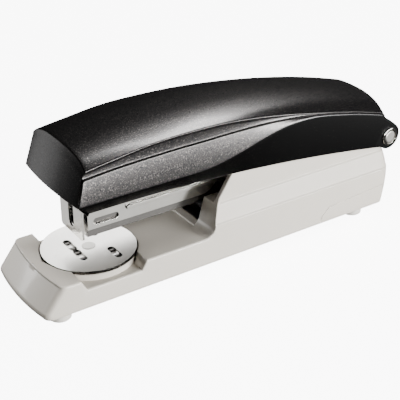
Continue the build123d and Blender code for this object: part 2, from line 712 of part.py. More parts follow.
def staple_strip():
    low = STAPLE_LEG_Z
    top = CORE_TOP_Z + RUNNING + STAPLE_WIRE
    strip = mid_block(RAIL_FRONT_X, STRIP_END_X, STAPLE_HALF, low, top)
    return strip - mid_block(-BEYOND, BEYOND, STAPLE_HALF - STAPLE_WIRE, low - 1, top - STAPLE_WIRE)


def rod_stop(x_low, x_high):
    """Wall inside the core that carries the pusher's rod."""
    wall_half = CORE_HALF - CORE_WALL
    low = CHANNEL_BOTTOM_Z + CHANNEL_FLOOR
    wall = mid_block(x_low, x_high, wall_half, low, CORE_TOP_Z - CORE_WALL)
    return wall - rod_x(x_low - 1, x_high + 1, 0, ROD_Z, ROD_RADIUS)


def pusher():
    """Follower that straddles the core behind the staples, with a fin down to the rod."""
    front = STRIP_END_X + RUNNING
    rear = front + PUSHER_LENGTH
    body = mid_block(front, rear, CHANNEL_INNER - GAP, CORE_TOP_Z + GAP, PUSHER_TOP_Z)
    inner = CORE_HALF + PUSHER_PLAY
    outer = CHANNEL_INNER - PUSHER_PLAY
    side_leg = block(front, rear, inner, outer, CHANNEL_BOTTOM_Z + PUSHER_LEG_LIFT, PUSHER_TOP_Z)
    fin_front = front + PUSHER_FIN_START
    fin_rear = front + PUSHER_FIN_END
    fin = mid_block(fin_front, fin_rear, PUSHER_FIN_HALF, ROD_Z - 2 * PUSHER_GUIDE, PUSHER_TOP_Z)
    guide = rod_x(fin_front, fin_rear, 0, ROD_Z, ROD_RADIUS + PUSHER_GUIDE)
    shape = body + both_sides(side_leg) + fin + guide
    return shape - rod_x(front, rear, 0, ROD_Z, ROD_RADIUS + RUNNING)


def pusher_spring():
    start = STRIP_END_X + PUSHER_FIN_END + PUSHER_PLAY
    end = CHANNEL_REAR_X - 1.5 * ROD_STOP - PUSHER_PLAY
    turns = int((end - start - PUSHER_WIRE) / PUSHER_PITCH)
    coil = coil_spring(turns, PUSHER_PITCH, PUSHER_SPRING_RADIUS, PUSHER_WIRE)
    return Pos(start + PUSHER_WIRE, 0, ROD_Z) * Rot(0, 90, 0) * coil


def rear_bracket():
    """Plastic saddle under the magazine with a wedge that dips into the base's slot."""
    outline = [
        (BRACKET_TIP_X - BRACKET_WEDGE_FRONT, CHANNEL_BOTTOM_Z),
        (BRACKET_TIP_X, BRACKET_TIP_Z),
        (BRACKET_TIP_X + BRACKET_WEDGE_REAR, CHANNEL_BOTTOM_Z),
    ]
    wedge = prism_xz(outline, -BRACKET_HALF, BRACKET_HALF)
    low = CHANNEL_BOTTOM_Z - BRACKET_FLOOR
    side = block(BRACKET_FRONT_X, BRACKET_REAR_X, CHANNEL_OUTER, BRACKET_HALF, low, BRACKET_TOP_Z)
    floor = mid_block(BRACKET_FRONT_X, BRACKET_REAR_X, BRACKET_HALF, low, CHANNEL_BOTTOM_Z)
    return wedge + both_sides(side) + floor


def cover_section(x):
    """Half cross-section of the cover's outside at x, from the ridge down to the skirt's edge."""
    crown = crown_z(x)
    along = min(max((x - COVER_FRONT_X) / (COVER_REAR_X - COVER_FRONT_X), 0), 1)
    slim = COVER_TAPER * max(along - COVER_TAPER_START, 0)
    share = smooth_step(x, SWEEP_START_X, SWEEP_END_X)
    shoulder = SHOULDER_HALF - slim
    ledge = crown - LEDGE_BELOW_CROWN + TUCK_RISE - TUCK_FRONT_DROP * (1 - share)
    return [
        (0, crown),
        (shoulder / 2, crown - CROWN_EASE),
        (shoulder, crown - SHOULDER_DROP),
        (DOME_HALF - slim, crown - DOME_DROP_FRONT - DOME_DROP_GROWTH * share),
        (TUCK_HALF - slim, ledge),
        (WIDEST_HALF - slim * WIDEST_TAPER, break_z(x)),
        (SKIRT_OUTER, skirt_z(x)),
    ]


def cover_outside():
    sections = []
    for x in COVER_STATIONS:
        right = cover_section(x)
        points = right + [(-y, z) for y, z in reversed(right[1:])]
        wire = Polyline(*[(x, y, z) for y, z in points], close=True)
        sections.append(make_face(wire))
    return loft(sections, ruled=True)


def cover_front_cutter():
    """Leaning, bowed front face, cut back under its lower edge."""
    lean = -math.degrees(math.atan(COVER_LEAN))
    column = Cylinder(COVER_BOW_RADIUS, 4 * BEYOND)
    offset = COVER_BOW_RADIUS / math.cos(math.radians(lean))
    place = Pos(COVER_FRONT_X - COVER_BOW + offset, 0, COVER_FRONT_Z)
    return place * Rot(0, -lean, 0) * column


def cover_room():
    """The space inside the cover, following its ridge, with its upper corners cut off."""
    sections = []
    for x in COVER_STATIONS:
        roof = crown_z(x) - COVER_ROOF
        right = [
            (SKIRT_INNER - ROOF_CHAMFER, roof - ROOF_EDGE_DROP),
            (SKIRT_INNER, roof - ROOF_CHAMFER - ROOF_EDGE_DROP),
            (SKIRT_INNER, 0),
        ]
        points = [(0, roof)] + right + [(-y, z) for y, z in reversed(right)]
        sections.append(make_face(Polyline(*[(x, y, z) for y, z in points], close=True)))
    front_x = COVER_FRONT_X + COVER_FRONT_WALL
    top = CROWN_Z + 10
    ends = [
        (front_x, -1),
        (front_x, COVER_FRONT_Z),
        (front_x + COVER_LEAN * (top - COVER_FRONT_Z), top),
        (COVER_REAR_X - COVER_REAR_WALL - COVER_REAR_LEAN * (top - COVER_REAR_Z), top),
        (COVER_REAR_X - COVER_REAR_WALL, COVER_REAR_Z),
        (COVER_REAR_X - COVER_REAR_WALL, -1),
    ]
    return loft(sections, ruled=True) & prism_xz(ends, -SKIRT_INNER, SKIRT_INNER)


def cover_rear_limit():
    """Everything in front of the cover's leaning rear face."""
    top = CROWN_Z + 10
    rear_top_x = COVER_REAR_X - COVER_REAR_LEAN * (top - COVER_REAR_Z)
    rear = [(rear_top_x, top), (COVER_REAR_X, COVER_REAR_Z), (COVER_REAR_X, 0)]
    return prism_xz([(-BEYOND, 0), (-BEYOND, top)] + rear, -BEYOND, BEYOND)


def chin_cutter():
    """The bevel under the front face's lower edge."""
    face_x = COVER_FRONT_X - 3
    hem_x = COVER_FRONT_X + CHIN_BACK
    outline = [
        (face_x, COVER_FRONT_Z + COVER_BOW / 2),
        (COVER_FRONT_X - COVER_BOW / 2, COVER_FRONT_Z),
        (hem_x, COVER_FRONT_Z - CHIN_DEPTH),
        (hem_x, 0),
        (face_x, 0),
    ]
    return prism_xz(outline, -BEYOND, BEYOND)


def cover_ear():
    """Round ear at the rear of one skirt wall, reached by two straight edges."""
    outline = [
        (EAR_ROOT_X, skirt_z(EAR_ROOT_X) + EAR_ROOT_RISE),
        (EAR_ROOT_X, EAR_ROOT_TOP_Z),
        EAR_TOP,
        EAR_SHOULDER,
        (EAR_BACK_X, PIVOT_Z),
        (PIVOT_X, PIVOT_Z - EAR_RADIUS),
        EAR_HEM,
    ]
    inner = SKIRT_INNER + EAR_INSET
    outer = SKIRT_OUTER - EAR_INSET
    ear = prism_xz(outline, inner, outer)
    return ear + pivot_rod(inner, outer, EAR_RADIUS)


def top_cover():
    cover = cover_outside() & cover_front_cutter() & cover_rear_limit()
    cover -= chin_cutter()
    cover -= cover_room()
    cover -= mid_block(REAR_ARCH_FRONT_X, BEYOND, SKIRT_INNER, 0, REAR_ARCH_Z)
    cover += both_sides(cover_ear())
    for x in COVER_SCREW_XS:
        cover += rod_z(x, 0, LEVER_ROOF_Z, crown_z(x) - COVER_ROOF / 2, COVER_BOSS_RADIUS)
        cover -= rod_z(x, 0, 0, LEVER_ROOF_Z + COVER_SCREW_BITE, COVER_SCREW_RADIUS)
    cover -= pivot_rod(-BEYOND, BEYOND, PIN_RADIUS + RUNNING)
    return cover


def cover_screws():
    low = LEVER_ROOF_Z - LEVER_WALL
    screws = []
    for x in COVER_SCREW_XS:
        shank = rod_z(x, 0, low, LEVER_ROOF_Z + COVER_SCREW_BITE, COVER_SCREW_RADIUS)
        head = rod_z(x, 0, low - COVER_SCREW_HEAD_HEIGHT, low, COVER_SCREW_HEAD_RADIUS)
        screws.append(shank + head)
    return Compound(screws)


def lever_frame():
    """Pressed steel lever: roof, two side plates with hinge eyes, and the driver's cross plate."""
    outline = [
        (LEVER_FRONT_X, CROSS_PLATE_LOW_Z),
        (LEVER_FRONT_X, LEVER_ROOF_Z),
        (LEVER_ROOF_REAR_X, LEVER_ROOF_Z),
        (PIVOT_X - 0.67 * EYE_RADIUS, PIVOT_Z + EYE_RADIUS),
        (PIVOT_X, PIVOT_Z + EYE_RADIUS),
        (PIVOT_X, PIVOT_Z - EYE_RADIUS),
        (PIVOT_X - 2 * EYE_RADIUS, PIVOT_Z),
        (LEVER_ROOF_REAR_X, LEVER_LOW_REAR_Z),
        (LEVER_DEEPEN_X, CROSS_PLATE_LOW_Z),
    ]
    inner = LEVER_OUTER - LEVER_WALL
    frame = pivot_plates(outline, inner, LEVER_OUTER, EYE_RADIUS)
    roof_low = LEVER_ROOF_Z - LEVER_WALL
    frame += mid_block(LEVER_FRONT_X, LEVER_ROOF_REAR_X, inner, roof_low, LEVER_ROOF_Z)
    cross_front = DRIVER_X + DRIVER_THICKNESS
    frame += mid_block(cross_front, LEVER_FRONT_X, LEVER_OUTER, CROSS_PLATE_LOW_Z, LEVER_ROOF_Z)
    for x in COVER_SCREW_XS:
        frame -= rod_z(x, 0, 0, BEYOND, COVER_SCREW_RADIUS)
    for side in (-1, 1):
        frame -= rod_x(-BEYOND, LEVER_FRONT_X + 1, side * RIVET_Y, RIVET_Z, RIVET_RADIUS)
    return frame


def driver_blade():
    rear = DRIVER_X + DRIVER_THICKNESS
    blade = mid_block(DRIVER_X, rear, DRIVER_HALF, DRIVER_BOTTOM_Z, DRIVER_TOP_Z)
    for side in (-1, 1):
        blade -= rod_x(-BEYOND, rear + 1, side * RIVET_Y, RIVET_Z, RIVET_RADIUS)
    return blade


def driver_rivets():
    rivets = []
    for side in (-1, 1):
        y = side * RIVET_Y
        shank = rod_x(DRIVER_X - RUNNING, LEVER_FRONT_X + RUNNING, y, RIVET_Z, RIVET_RADIUS)
        front_x = DRIVER_X - RIVET_HEAD_HEIGHT
        rear_x = LEVER_FRONT_X + RIVET_HEAD_HEIGHT
        front_head = rod_x(front_x, DRIVER_X, y, RIVET_Z, RIVET_HEAD_RADIUS)
        rear_head = rod_x(LEVER_FRONT_X, rear_x, y, RIVET_Z, RIVET_HEAD_RADIUS)
        rivets.append(shank + front_head + rear_head)
    return Compound(rivets)


def all_parts():
    parts = {
        "base_shell": base_shell(),
        "rear_cap": rear_cap(),
        "bottom_plate": bottom_plate(),
        "chassis": chassis(),
        "base_screws": base_screws(),
        "hinge_pin": hinge_pin(),
        "pin_ring_left": mirror(pin_ring(), about=Plane.XZ),
        "pin_ring_right": pin_ring(),
        "anvil_seat": anvil_seat(),
        "anvil_disc": anvil_disc(),
        "anvil_stud": anvil_stud(),
        "anvil_button": anvil_button(),
        "anvil_spring": anvil_spring(),
        "lift_spring": lift_spring(),
        "lift_bush": spring_bush(-LIFT_BUSH_HALF, LIFT_BUSH_HALF),
        "staple_channel": staple_channel(),
        "magazine_housing": magazine_housing(),
        "nose_plate": nose_plate(),
        "nose_rivets": nose_rivets(),
        "staple_core": staple_core(),
        "staple_strip": staple_strip(),
        "rod_stop_front": rod_stop(ROD_FRONT_X, ROD_FRONT_X + ROD_STOP),
        "rod_stop_rear": rod_stop(CHANNEL_REAR_X - 1.5 * ROD_STOP, CHANNEL_REAR_X - ROD_STOP / 2),
        "guide_rod": rod_x(ROD_FRONT_X, CHANNEL_REAR_X - ROD_STOP / 2, 0, ROD_Z, ROD_RADIUS),
        "rear_bracket": rear_bracket(),
        "pusher": pusher(),
        "pusher_spring": pusher_spring(),
        "return_spring": return_spring(),
        "return_bush_left": spring_bush(-RETURN_BUSH_OUTER, -RETURN_BUSH_INNER),
        "return_bush_right": spring_bush(RETURN_BUSH_INNER, RETURN_BUSH_OUTER),
        "top_cover": top_cover(),
        "cover_screws": cover_screws(),
        "lever_frame": lever_frame(),
        "driver_blade": driver_blade(),
        "driver_rivets": driver_rivets(),
    }
    for end, x in FOOT_XS.items():
        parts[f"foot_{end}_left"] = foot(x, -FOOT_Y)
        parts[f"foot_{end}_right"] = foot(x, FOOT_Y)
    return parts


for name, shape in all_parts().items():
    export_step(shape, f"parts/{name}.step")
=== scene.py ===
import json
import math

import bmesh
import bpy
import numpy as np
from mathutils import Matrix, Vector


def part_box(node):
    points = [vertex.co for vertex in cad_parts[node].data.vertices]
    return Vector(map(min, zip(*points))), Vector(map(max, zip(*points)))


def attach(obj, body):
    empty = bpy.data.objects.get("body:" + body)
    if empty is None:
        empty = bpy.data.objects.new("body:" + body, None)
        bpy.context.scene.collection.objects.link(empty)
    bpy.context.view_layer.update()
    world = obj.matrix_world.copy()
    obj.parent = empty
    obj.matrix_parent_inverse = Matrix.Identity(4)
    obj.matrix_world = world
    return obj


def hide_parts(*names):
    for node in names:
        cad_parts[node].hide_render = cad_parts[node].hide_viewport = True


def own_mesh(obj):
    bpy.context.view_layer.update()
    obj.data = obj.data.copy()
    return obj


millimetre = 0.001
weldDistance = 0.0002 * millimetre

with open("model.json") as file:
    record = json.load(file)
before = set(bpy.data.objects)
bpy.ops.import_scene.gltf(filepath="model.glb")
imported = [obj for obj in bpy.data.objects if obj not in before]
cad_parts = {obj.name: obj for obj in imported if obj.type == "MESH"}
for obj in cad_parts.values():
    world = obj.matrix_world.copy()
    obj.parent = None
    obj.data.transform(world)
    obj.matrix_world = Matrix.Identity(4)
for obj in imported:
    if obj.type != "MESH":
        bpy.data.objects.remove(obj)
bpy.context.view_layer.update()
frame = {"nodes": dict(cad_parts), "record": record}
nodes = frame["nodes"]
print("frame loaded")


# Mesh helpers

def softStep(x, start, end):
    t = np.clip((x - start) / (end - start), 0.0, 1.0)
    return t * t * (3 - 2 * t)


def softLine(x, points, reach=5.0):
    # A broken line through the points, averaged over a few millimetres each way.
    xs, values = zip(*points)
    return sum(np.interp(x + shift, xs, values) for shift in np.linspace(-reach, reach, 9)) / 9


def gridFaces(rows, columns, closeRows=False, closeColumns=False):
    # Quads of a grid of vertices, row after row, optionally joined to its first row or column.
    r = np.arange(rows if closeRows else rows - 1)
    c = np.arange(columns if closeColumns else columns - 1)
    a, b = np.meshgrid(r, c, indexing="ij")
    a2, b2 = (a + 1) % rows, (b + 1) % columns
    quads = np.stack([a * columns + b, a * columns + b2, a2 * columns + b2, a2 * columns + b], axis=-1)
    return quads.reshape(-1, 4)


class Shape:
    # Vertices and quads of one piece, gathered patch by patch, each quad with its finish number.
    def __init__(self):
        self.points, self.quads, self.marks, self.count = [], [], [], 0

    def addGrid(self, grid, closeRows=False, closeColumns=False, flip=False, marks=None):
        rows, columns = grid.shape[:2]
        quads = gridFaces(rows, columns, closeRows, closeColumns)
        self.points.append(grid.reshape(-1, 3))
        self.quads.append((quads[:, ::-1] if flip else quads) + self.count)
        self.marks.append(np.zeros(len(quads), int) if marks is None else marks.reshape(-1).astype(int))
        self.count += rows * columns


def makePiece(name, shape, body, replaced, slotName, finishList=None, smoothAngle=35.0):
    # One object from a gathered shape in millimetres, riding on its body.
    mesh = bpy.data.meshes.new(name)
    points, quads = np.concatenate(shape.points), np.concatenate(shape.quads)
    # faces that lie in the middle plane are inside the joined halves, so they go
    kept = np.abs(points[quads][..., 1]).max(axis=1) > 1e-4
    mesh.from_pydata((points * millimetre).tolist(), [], quads[kept].tolist())
    mesh.polygons.foreach_set("material_index", np.concatenate(shape.marks)[kept])
    work = bmesh.new()
    work.from_mesh(mesh)
    bmesh.ops.remove_doubles(work, verts=work.verts, dist=weldDistance)
    bmesh.ops.dissolve_degenerate(work, edges=work.edges, dist=weldDistance)
    bmesh.ops.recalc_face_normals(work, faces=work.faces)
    work.to_mesh(mesh)
    work.free()
    mesh.shade_smooth()
    mesh.set_sharp_from_angle(angle=math.radians(smoothAngle))
    piece = bpy.data.objects.new(name, mesh)
    bpy.context.scene.collection.objects.link(piece)
    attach(piece, body)
    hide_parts(*replaced)
    for finish in finishList or [finishes[slotName]]:
        mesh.materials.append(finish)
    return piece


# Materials

def toLinear(hexColour):
    channels = [int(hexColour[i:i + 2], 16) / 255 for i in (1, 3, 5)]
    return [c / 12.92 if c <= 0.04045 else ((c + 0.055) / 1.055) ** 2.4 for c in channels] + [1.0]


def addNode(tree, kind, settings=None, links=None, values=None):
    # A node with its settings, its socket values and the links into it.
    node = tree.nodes.new(kind)
    for key, value in (settings or {}).items():
        setattr(node, key, value)
    for key, value in (values or {}).items():
        node.inputs[key].default_value = value
    for key, source in (links or {}).items():
        tree.links.new(source, node.inputs[key])
    return node


def newFinish(name):
    # A material with an empty shader and object coordinates ready.
    finish = bpy.data.materials.new(name)
    finish.use_nodes = True
    tree = finish.node_tree
    shader = tree.nodes["Principled BSDF"]
    place = addNode(tree, "ShaderNodeTexCoord").outputs["Object"]
    return finish, tree, shader, place


def noiseAt(tree, place, sizeMm, detail=2.0, roughness=0.5):
    # Noise whose lumps are about sizeMm across.
    return addNode(tree, "ShaderNodeTexNoise", links={"Vector": place},
                   values={"Scale": 1.0 / (sizeMm * millimetre), "Detail": detail, "Roughness": roughness})


def spread(tree, source, low, high, fromLow=0.0, fromHigh=1.0):
    # A factor mapped onto a range of values.
    node = addNode(tree, "ShaderNodeMapRange", links={"Value": source},
                   values={"From Min": fromLow, "From Max": fromHigh, "To Min": low, "To Max": high})
    return node.outputs["Result"]


def mixColours(tree, factor, first, second):
    node = addNode(tree, "ShaderNodeMix", {"data_type": "RGBA"})
    tree.links.new(factor, node.inputs["Factor"])
    node.inputs["A"].default_value = toLinear(first)
    node.inputs["B"].default_value = toLinear(second)
    return node.outputs["Result"]


def addBump(tree, shader, height, strength, depthMm, edgeMm=0.0):
    # Fine relief over an optionally rounded edge.
    bump = addNode(tree, "ShaderNodeBump", links={"Height": height},
                   values={"Strength": strength, "Distance": depthMm * millimetre})
    if edgeMm:
        edge = addNode(tree, "ShaderNodeBevel", {"samples": 6}, values={"Radius": edgeMm * millimetre})
        tree.links.new(edge.outputs["Normal"], bump.inputs["Normal"])
    tree.links.new(bump.outputs["Normal"], shader.inputs["Normal"])


def mouldedPlastic(name, colours, roughness, grainMm, edgeMm=0.3, coat=0.0, bump=0.12):
    # Moulded plastic: a barely mottled colour under an even satin skin.
    finish, tree, shader, place = newFinish(name)
    cloud = noiseAt(tree, place, 9.0, 3.0).outputs["Fac"]
    grain = noiseAt(tree, place, grainMm, 2.0).outputs["Fac"]
    tree.links.new(mixColours(tree, cloud, *colours), shader.inputs["Base Color"])
    tree.links.new(spread(tree, grain, roughness[0], roughness[1], 0.3, 0.7), shader.inputs["Roughness"])
    shader.inputs["IOR"].default_value = 1.5
    shader.inputs["Coat Weight"].default_value = coat
    shader.inputs["Coat Roughness"].default_value = 0.12
    addBump(tree, shader, grain, bump, 0.03, edgeMm)
    return finish


def pearlPlastic(name):
    # Black plastic with a fine pearl: tiny grey flecks that lift its soft reflections.
    finish, tree, shader, place = newFinish(name)
    fleck = noiseAt(tree, place, 0.34, 1.0).outputs["Fac"]
    share = spread(tree, fleck, 0.0, 1.0, 0.47, 0.78)
    tree.links.new(mixColours(tree, share, "#020203", "#706c6a"), shader.inputs["Base Color"])
    tree.links.new(spread(tree, share, 0.0, 1.0, 0.0, 0.2), shader.inputs["Metallic"])
    tree.links.new(spread(tree, fleck, 0.27, 0.36, 0.3, 0.7), shader.inputs["Roughness"])
    shader.inputs["IOR"].default_value = 1.5
    shader.inputs["Coat Weight"].default_value = 0.1
    shader.inputs["Coat Roughness"].default_value = 0.15
    addBump(tree, shader, fleck, 0.08, 0.03)
    return finish


def metal(name, colours, roughness, grainMm, stretch=(1, 1, 1), edgeMm=0.15, bump=0.05):
    # Bare or plated metal: faint drawn lines along the sheet and soft cloudy wear in its shine.
    finish, tree, shader, place = newFinish(name)
    lines = addNode(tree, "ShaderNodeMapping", links={"Vector": place}, values={"Scale": Vector(stretch)})
    grain = noiseAt(tree, lines.outputs["Vector"], grainMm, 3.0).outputs["Fac"]
    cloud = noiseAt(tree, place, 6.0, 2.0).outputs["Fac"]
    tree.links.new(mixColours(tree, cloud, *colours), shader.inputs["Base Color"])
    tree.links.new(spread(tree, grain, roughness[0], roughness[1], 0.3, 0.7), shader.inputs["Roughness"])
    shader.inputs["Metallic"].default_value = 1.0
    addBump(tree, shader, grain, bump, 0.02, edgeMm)
    return finish


finishes = {
    # pale warm grey housing, a dry satin that turns brighter where it faces the light
    "base_plastic": mouldedPlastic(
        "WarmGreyMouldedPlastic", ("#b7b1a6", "#bdb7ad"), (0.42, 0.52), 0.35, edgeMm=0.35, coat=0.3),
    # the handle's semi-gloss black with its fine pearl
    "cover_plastic": pearlPlastic("BlackPearlPlastic"),
    # the handle's lower band and its ears, a plain near-black in place of the pearl: painted shade where
    # they face away from the light
    "skirt_painted_shade": mouldedPlastic(
        "SkirtPaintedShadeBlack", ("#010101", "#020202"), (0.24, 0.26), 0.3, edgeMm=0.0, bump=0.0),
    # plain black mouldings under the magazine and on the hinge
    "black_plastic": mouldedPlastic("BlackMouldedPlastic", ("#0d0d0f", "#161618"), (0.38, 0.5), 0.3),
    # soft dull pads
    "foot_rubber": mouldedPlastic("PaleGreyRubber", ("#c2beb5", "#cbc8c0"), (0.7, 0.8), 0.4),
    # bright plating on thin sheet
    "nickel_steel": metal("NickelPlatedSteel", ("#c4c2bc", "#b3b1ab"), (0.13, 0.2), 0.5, (1, 6, 6)),
    # the disc's soft satin plating, nearly white under the light
    "disc_steel": metal(
        "SatinNickelDisc", ("#e4e2dd", "#dad8d3"), (0.30, 0.42), 0.5, (1, 1, 1), 0.0, 0.03),
    # painted shade: dark metal on the disc's pocket bowls, rolled rim, side, underside and bore edge
    "painted_shade_steel": metal(
        "PaintedShadeDiscSteel", ("#2c2a28", "#4c4a46"), (0.2, 0.32), 0.4, (1, 1, 1), 0.0, 0.05),
    # the stud's turned face, a shade under the disc
    "stud_steel": metal(
        "TurnedStudSteel", ("#b3b1ac", "#a6a49f"), (0.34, 0.44), 0.4, (1, 1, 1), 0.1, 0.04),
    # greyer drawn sheet seen through the magazine's windows
    "channel_steel": metal("GreyChannelSteel", ("#787673", "#6a6865"), (0.16, 0.24), 0.5, (1, 6, 6)),
    # duller grey plating on the hidden frames
    "zinc_steel": metal("ZincPlatedSteel", ("#a9abae", "#b9bbbd"), (0.34, 0.46), 0.6),
    # hard dark blade and wire
    "spring_steel": metal("SpringSteel", ("#8f8f90", "#a2a2a2"), (0.24, 0.34), 0.4, (6, 6, 1)),
    # glued staples: thin bright wires side by side
    "staple_steel": metal("GalvanisedStapleWire", ("#c8c8c8", "#b0b0b0"), (0.25, 0.4), 0.4, (12, 1, 1)),
}


# Handle cover

cover = {
    "crown": (-14.0, 59.08), "fallFront": 0.00145, "fallRear": 0.00182,
    "frontX": -63.05, "frontZ": 40.6, "lean": 0.3, "bow": 1.25, "chinSlope": 0.9,
    "rearX": 69.5, "rearZ": 39.0, "rearLean": 0.25, "rearWallLowZ": 38.2,
    "sweep": (-17.0, 39.0), "breakBelowCrown": 6.7,
    "hemFrontZ": 36.7, "hemFall": 0.00072, "hemFallFromX": -50.0, "hemHalf": 17.58,
    "edgeDrop": ((-64, 4.5), (-52, 4.1), (-32, 3.0), (-16, 3.4), (-4, 3.7),
                 (6, 4.4), (18, 5.1), (36, 6.0), (70, 6.0)),
    "panelDrop": ((-64, 6.5), (-50, 6.9), (-34, 7.5), (-14, 8.0),
                  (-4, 7.7), (12, 7.0), (30, 6.45), (70, 6.3)),
    "edgeHalf": ((-64, 18.7), (-30, 19.0), (0, 18.6), (35, 17.6), (70, 16.9)),
    "panelHalf": ((-64, 18.6), (-30, 18.75), (0, 18.5), (35, 17.8), (70, 17.1)),
    "breakHalf": ((-64, 19.5), (-30, 19.58), (0, 19.45), (30, 18.5), (56, 17.75), (70, 17.58)),
    "grooveDepth": 1.1, "innerHalf": 16.55, "roof": 3.4, "frontWall": 2.2, "rearWall": 1.8,
    "earCentre": (72.5, 30.2), "earRadius": 5.2,
}


def crownHeight(x):
    # Ridge height: a parabola falling both ways from its top, steeper to the rear.
    x0, z0 = cover["crown"]
    return z0 - np.where(x < x0, cover["fallFront"], cover["fallRear"]) * (x - x0) ** 2


def hemHeight(x):
    return cover["hemFrontZ"] - cover["hemFall"] * np.maximum(x - cover["hemFallFromX"], 0) ** 2


def outerKeys(x):
    # Corners of the half section, from the ridge to the hem, each with its rounding radius.
    crown = crownHeight(x)
    share = softStep(x, *cover["sweep"])
    breakZ = cover["frontZ"] + share * (crown - cover["breakBelowCrown"] - cover["frontZ"])
    edgeZ = crown - softLine(x, cover["edgeDrop"])
    panelZ = crown - softLine(x, cover["panelDrop"])
    edgeY = softLine(x, cover["edgeHalf"])
    panelY = softLine(x, cover["panelHalf"])
    breakY = softLine(x, cover["breakHalf"])
    groove = np.minimum(cover["grooveDepth"], 0.45 * np.maximum(edgeZ - panelZ, 0.05))
    hem = hemHeight(x)
    zero = 0 * x
    return [
        (zero, crown, 0.0),
        (edgeY * 0.42, crown - 0.22, 5.0),
        (edgeY * 0.80, crown - 1.75 - 0.5 * share, 4.0),
        (edgeY, edgeZ, 0.9),
        (edgeY - groove, edgeZ - groove, 0.25),
        (panelY - groove * 0.8, panelZ - 0.15 * groove, 0.25),
        (panelY, panelZ - 0.35 * groove, 0.3),
        (breakY, breakZ, 0.7),
        (zero + cover["hemHalf"], hem + 0.001, 0.35),
        (zero + cover["hemHalf"] - 0.5, hem, 0.0),
    ]


def innerKeys(x):
    # Corners of the room inside, from the ridge to the hem.
    roof = crownHeight(x) - cover["roof"]
    zero = 0 * x
    half = zero + cover["innerHalf"]
    hem = hemHeight(x)
    return [
        (zero, roof, 0.0),
        (half * 0.4, roof - 0.3, 3.0),
        (half - 3.2, roof - 0.9, 2.0),
        (half, roof - 4.2, 1.0),
        (half, roof * 0.75 + hem * 0.25, 0.5),
        (half, roof * 0.5 + hem * 0.5, 0.5),
        (half, roof * 0.3 + hem * 0.7, 0.5),
        (half, roof * 0.1 + hem * 0.9, 0.5),
        (half, hem + 0.1, 0.1),
        (half, hem, 0.0),
    ]


def bentLine(keys, steps):
    # Half section through its corners, each corner replaced by a quadratic curve of its radius.
    #
    # Column by column, the point is the mix (1-t)(1-t)A + 2t(1-t)P + ttB, where P is the corner and
    # A and B lie on its two sides, one radius away or half-way to the next corner.
    y = np.stack([k[0] for k in keys])
    z = np.stack([k[1] for k in keys])
    corner = np.concatenate([[0]] + [np.full(n, i + 1) for i, n in enumerate(steps)] + [[len(keys) - 1]])
    t = np.concatenate([[0.0]] + [np.linspace(0, 1, n) for n in steps] + [[1.0]])
    radius = np.array([k[2] for k in keys])[corner]
    column = np.arange(len(corner))
    before, after = np.maximum(corner - 1, 0), np.minimum(corner + 1, len(keys) - 1)

    def at(which, table):
        return table[which, :, column].T

    def toward(which):
        dy, dz = at(which, y) - at(corner, y), at(which, z) - at(corner, z)
        share = np.minimum(radius / np.maximum(np.hypot(dy, dz), 1e-6), 0.499)
        return at(corner, y) + dy * share, at(corner, z) + dz * share

    ay, az = toward(before)
    by, bz = toward(after)
    wa, wp, wb = (1 - t) ** 2, 2 * t * (1 - t), t * t
    return wa * ay + wp * at(corner, y) + wb * by, wa * az + wp * at(corner, z) + wb * bz


coverSteps = (6, 9, 8, 5, 4, 5, 6, 5)


def coverSheet(keys, wallFront, wallRear, edgeRound, lowZ):
    # Outside or inside skin: a half section carried along the length, closed by a front and a rear curtain.
    #
    # The rows are set between the leaning front face and the leaning rear face, so x mixes the two by u.
    # The last few tenths before each face draw the section in along a quarter circle.
    columns = 2 + sum(coverSteps)
    angle = np.radians(np.linspace(0, 90, 5))
    start = edgeRound * (1 - np.cos(angle)) / 132.0
    inset = edgeRound * (1 - np.sin(angle))
    middle = np.linspace(start[-1], 1 - start[-1], 120)[1:-1]
    u = np.concatenate([start, middle, 1 - start[::-1]])[:, None] * np.ones((1, columns))
    inset = np.concatenate([inset, 0 * middle, inset[::-1]])[:, None]
    x = -62 + u * 131

    def faceX(y, z):
        above = z - cover["frontZ"]
        lean = np.where(above > 0, cover["lean"] * above, -cover["chinSlope"] * above)
        return cover["frontX"] + wallFront + cover["bow"] * (y / 19.0) ** 2 + lean

    def backX(z):
        return cover["rearX"] - wallRear - cover["rearLean"] * (z - cover["rearZ"])

    for _ in range(4):
        y, z = bentLine(keys(x), coverSteps)
        face = faceX(y, z)
        x = face + u * (backX(z) - face)
    y = y * (1 - inset / 19.0)
    z = z - inset * np.clip((z - cover["frontZ"]) / 14.0, 0, 1)

    def curtain(row, levels, atFront):
        # Vertical lines dropped from the section's end row, on the same leaning face.
        lines = []
        for z0, z1, steps in levels:
            for share in np.linspace(0, 1, steps)[1:]:
                top = np.minimum(z[row], z0)
                low = np.minimum(z[row], z1)
                level = top + (low - top) * share
                place = faceX(y[row], level) if atFront else backX(level)
                lines.append(np.stack([place, y[row], level], axis=-1))
        return lines

    sheet = list(np.stack([x, y, z], axis=-1))
    front = curtain(0, ((99.0, cover["frontZ"], 10), (cover["frontZ"], cover["hemFrontZ"], 4)), True)
    rear = curtain(-1, ((99.0, lowZ, 6),), False)
    grid = np.stack(front[::-1] + sheet + rear)
    mirrored = grid[:, :0:-1] * (1, -1, 1)
    return np.concatenate([mirrored, grid], axis=1)


def rimBetween(shape, outer, inner):
    # Strip joining the edges of two sheets of the same grid size.
    def border(grid):
        return np.concatenate([grid[0, :-1], grid[:-1, -1], grid[-1, :0:-1], grid[:0:-1, 0]])
    shape.addGrid(np.stack([border(outer), border(inner)]), closeColumns=True)


